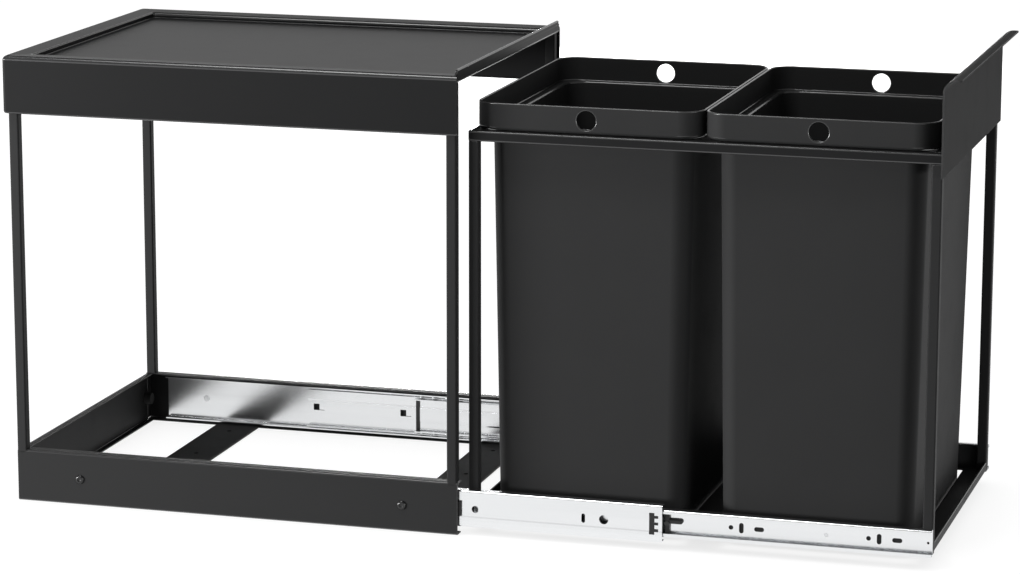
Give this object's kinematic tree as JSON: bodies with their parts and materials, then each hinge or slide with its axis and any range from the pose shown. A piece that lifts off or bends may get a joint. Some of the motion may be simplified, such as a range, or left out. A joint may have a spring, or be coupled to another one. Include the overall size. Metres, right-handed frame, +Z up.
{
  "type": "pull-out bin frame",
  "caption": "Floor-standing steel frame with a shelf tray and a carriage of lift-out bins that runs out on ball-bearing slides, with a curled handle lip",
  "frame": {"origin": "centre of the floor screw pattern in the two straps, on the floor", "axes": "+X is the way the carriage pulls out, +Y is to the far side, +Z is up"},
  "size_m": [0.932, 0.36, 0.46],
  "materials": {
    "black_steel": "black powder coat, satin",
    "bin_plastic": "black moulded plastic with a fine texture",
    "black_plastic": "black moulded plastic",
    "zinc_steel": "bright zinc plating on rolled strip",
    "bright_steel": "bright steel",
    "rubber": "black rubber"
  },
  "bodies": {
    "frame": {"top_tray": "black_steel", "near_base": "black_steel", "far_base": "black_steel", "rear_base": "black_steel", "rear_near_post": "black_steel", "rear_far_post": "black_steel", "front_near_post": "black_steel", "front_far_post": "black_steel", "mid_strap": "black_steel", "front_strap": "black_steel", "rear_bumpers": "rubber", "slide_screws": "black_steel", "near_outer_rail": "zinc_steel", "far_outer_rail": "zinc_steel", "near_front_clip": "black_plastic", "far_front_clip": "black_plastic"},
    "carriage": {"near_inner_rail": "zinc_steel", "far_inner_rail": "zinc_steel", "inner_rail_screws": "bright_steel", "lever_rivets": "bright_steel", "rear_near_stand": "black_steel", "rear_far_stand": "black_steel", "front_near_stand": "black_steel", "front_far_stand": "black_steel", "near_sill": "black_steel", "far_sill": "black_steel", "rear_bottom_bar": "black_steel", "mid_bottom_bar": "black_steel", "front_bottom_bar": "black_steel", "near_ring_bar": "black_steel", "far_ring_bar": "black_steel", "rear_ring_bar": "black_steel", "front_ring_bar": "black_steel", "handle_plate": "black_steel", "handle_screws": "bright_steel"},
    "near_middle": {"near_mid_rail": "zinc_steel", "near_end_stop": "black_plastic", "near_rear_clip": "black_plastic"},
    "near_outer_bearing": {"near_outer_cage": "bright_steel", "near_outer_balls": "bright_steel"},
    "near_inner_bearing": {"near_inner_cage": "bright_steel", "near_inner_balls": "bright_steel"},
    "near_lever": {"near_release_lever": "black_plastic"},
    "far_middle": {"far_mid_rail": "zinc_steel", "far_end_stop": "black_plastic", "far_rear_clip": "black_plastic"},
    "far_outer_bearing": {"far_outer_cage": "bright_steel", "far_outer_balls": "bright_steel"},
    "far_inner_bearing": {"far_inner_cage": "bright_steel", "far_inner_balls": "bright_steel"},
    "far_lever": {"far_release_lever": "black_plastic"},
    "rear_bin": {"rear_bin": "bin_plastic"},
    "front_bin": {"front_bin": "bin_plastic"}
  },
  "joints": [
    {"name": "carriage_slide", "type": "slide", "parent": "frame", "child": "carriage", "axis": [1, 0, 0], "range_m": [-0.452, 0]},
    {"name": "near_middle_slide", "type": "slide", "parent": "frame", "child": "near_middle", "axis": [1, 0, 0], "range_m": [-0.226, 0]},
    {"name": "near_outer_bearing_slide", "type": "slide", "parent": "frame", "child": "near_outer_bearing", "axis": [1, 0, 0], "range_m": [-0.113, 0]},
    {"name": "near_inner_bearing_slide", "type": "slide", "parent": "frame", "child": "near_inner_bearing", "axis": [1, 0, 0], "range_m": [-0.339, 0]},
    {"name": "far_middle_slide", "type": "slide", "parent": "frame", "child": "far_middle", "axis": [1, 0, 0], "range_m": [-0.226, 0]},
    {"name": "far_outer_bearing_slide", "type": "slide", "parent": "frame", "child": "far_outer_bearing", "axis": [1, 0, 0], "range_m": [-0.113, 0]},
    {"name": "far_inner_bearing_slide", "type": "slide", "parent": "frame", "child": "far_inner_bearing", "axis": [1, 0, 0], "range_m": [-0.339, 0]},
    {"name": "rear_bin_lift", "type": "slide", "parent": "carriage", "child": "rear_bin", "axis": [0, 0, 1], "range_m": [0, 0.015]},
    {"name": "front_bin_lift", "type": "slide", "parent": "carriage", "child": "front_bin", "axis": [0, 0, 1], "range_m": [0, 0.015]},
    {"name": "near_lever_turn", "type": "hinge", "parent": "carriage", "child": "near_lever", "pos_m": [0.4075, -0.16495, 0.026], "axis": [0, 1, 0], "range_deg": [0, 8], "stiffness_Nm_per_rad": 0.02},
    {"name": "far_lever_turn", "type": "hinge", "parent": "carriage", "child": "far_lever", "pos_m": [0.4075, 0.16495, 0.026], "axis": [0, -1, 0], "range_deg": [0, 8], "stiffness_Nm_per_rad": 0.02}
  ],
  "couplings": [
    {"joint": "near_middle_slide", "follows": "carriage_slide", "ratio": 0.5},
    {"joint": "near_outer_bearing_slide", "follows": "carriage_slide", "ratio": 0.25},
    {"joint": "near_inner_bearing_slide", "follows": "carriage_slide", "ratio": 0.75},
    {"joint": "far_middle_slide", "follows": "carriage_slide", "ratio": 0.5},
    {"joint": "far_outer_bearing_slide", "follows": "carriage_slide", "ratio": 0.25},
    {"joint": "far_inner_bearing_slide", "follows": "carriage_slide", "ratio": 0.75}
  ]
}
